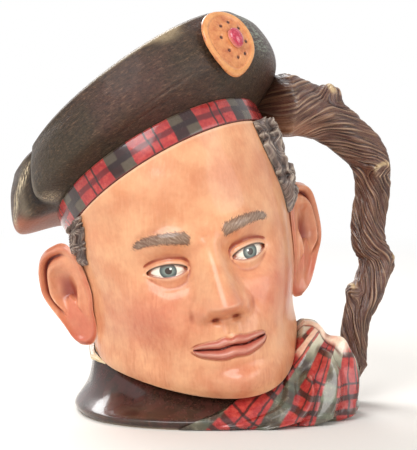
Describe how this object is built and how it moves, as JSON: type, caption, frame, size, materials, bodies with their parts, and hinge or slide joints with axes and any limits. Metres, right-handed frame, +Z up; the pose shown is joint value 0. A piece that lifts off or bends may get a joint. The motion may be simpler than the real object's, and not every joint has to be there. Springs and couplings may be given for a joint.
{
  "type": "character jug",
  "caption": "Glazed earthenware jug shaped as a head in a slanted tartan-banded bonnet, with a plaid on its shoulder, a branch-shaped handle and a pouring mouth in the crown.",
  "frame": {"origin": "middle of the flat foot, on the surface that the jug stands on", "axes": "+Z up, -Y the way the face looks, +X towards the handle"},
  "size_m": [0.1593, 0.1224, 0.1577],
  "materials": {
    "coat": "hand-painted under a clear gloss glaze",
    "shirt": "hand-painted under a clear gloss glaze",
    "plaid": "hand-painted under a clear gloss glaze",
    "skin": "hand-painted under a clear gloss glaze",
    "hair": "hand-painted under a clear gloss glaze",
    "band": "hand-painted under a clear gloss glaze",
    "bonnet": "hand-painted under a clear gloss glaze",
    "badge": "hand-painted under a clear gloss glaze",
    "stone": "hand-painted under a clear gloss glaze",
    "bark": "hand-painted under a clear gloss glaze"
  },
  "bodies": {
    "root": {"coat": "coat", "shirt_collar": "shirt", "plaid": "plaid", "head": "skin", "left_ear": "skin", "right_ear": "skin", "left_side_hair": "hair", "right_side_hair": "hair", "bonnet_band": "band", "bonnet_crown": "bonnet", "badge": "badge", "badge_stone": "stone", "handle": "bark"}
  },
  "joints": []
}
